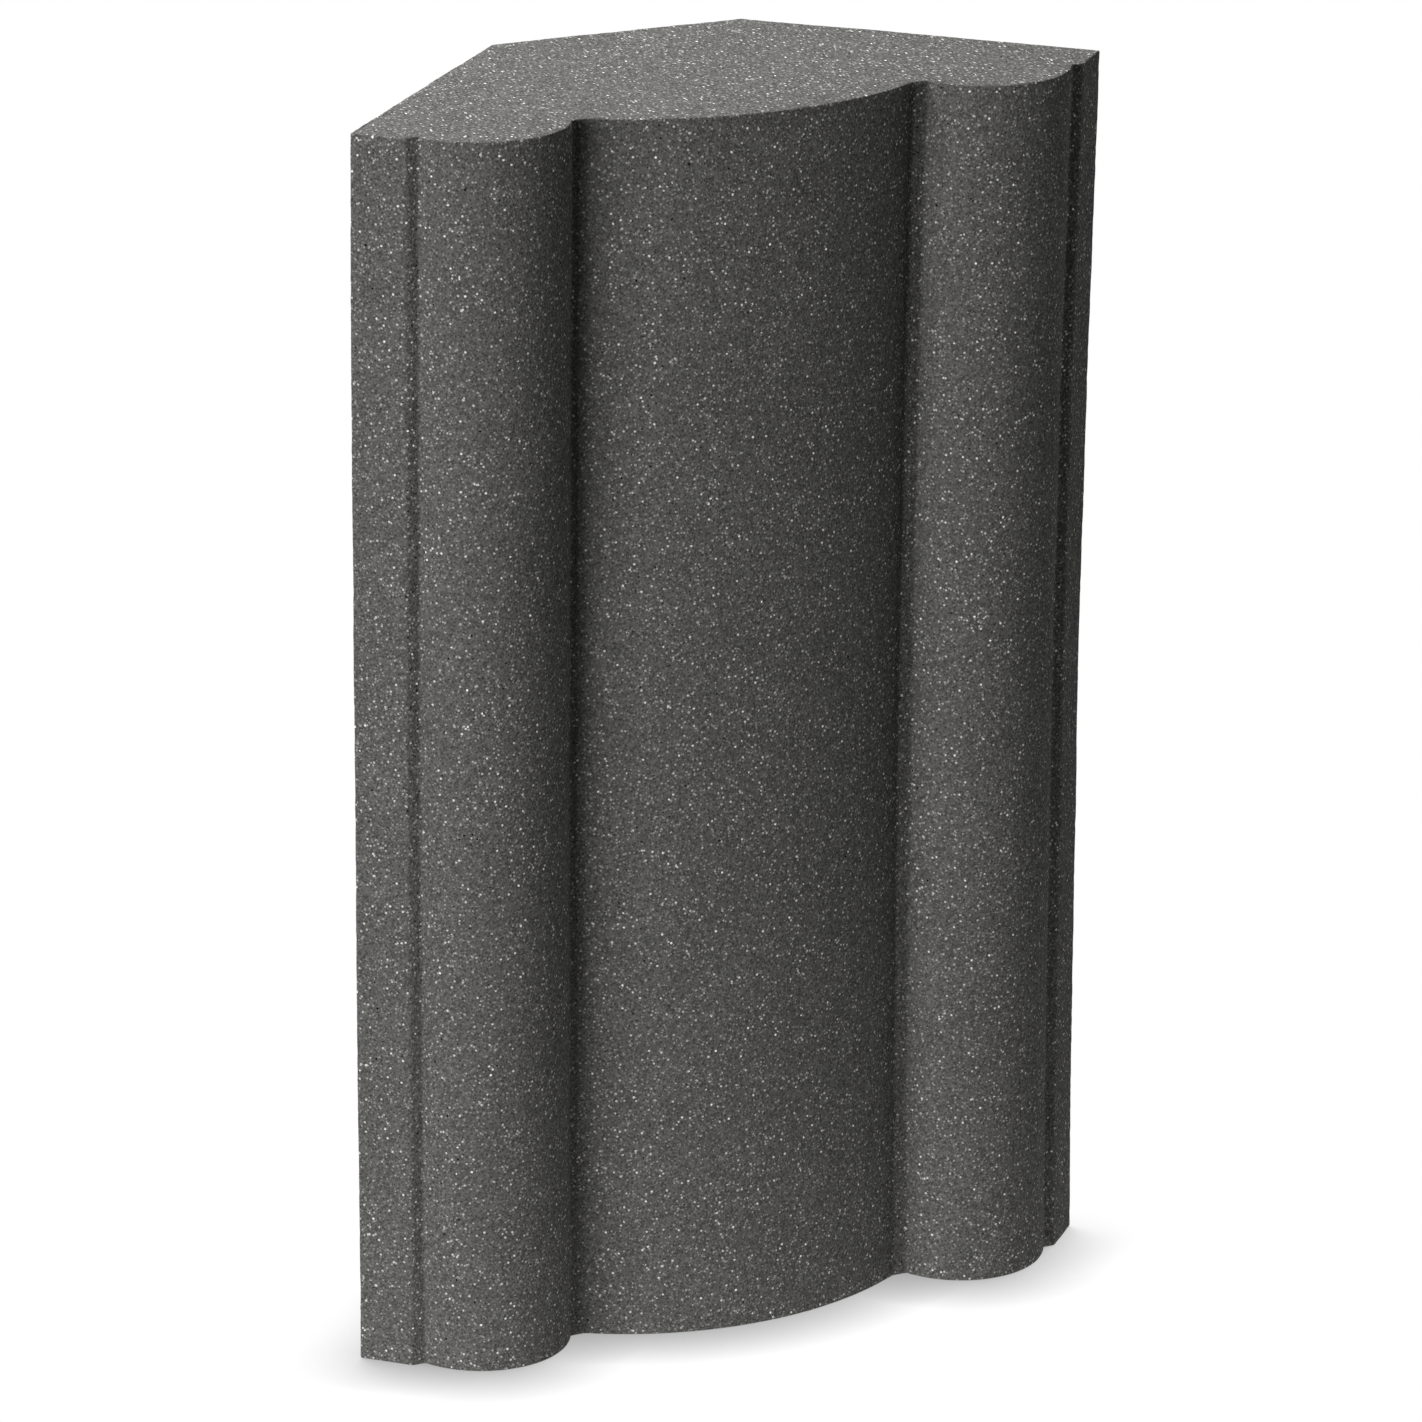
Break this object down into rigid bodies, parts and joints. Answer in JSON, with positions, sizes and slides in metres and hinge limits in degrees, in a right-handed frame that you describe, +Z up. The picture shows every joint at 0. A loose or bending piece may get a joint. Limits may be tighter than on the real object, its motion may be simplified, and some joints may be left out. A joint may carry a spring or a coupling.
{
  "type": "corner bass trap",
  "caption": "Charcoal open-cell foam block that fills a room corner, with flat wall faces, a narrow flat back and a front of upright rounds and grooves.",
  "frame": {"origin": "middle of the base of the block's bounding box, on the surface it stands on", "axes": "+Z up along the block's length and its rounds; -Y faces the room, out of the corner; +Y points into the corner; +X is to the right for someone who looks at the front"},
  "size_m": [0.3842, 0.1692, 0.6],
  "materials": {
    "charcoal_foam": "matte"
  },
  "bodies": {
    "root": {"foam_block": "charcoal_foam"}
  },
  "joints": []
}
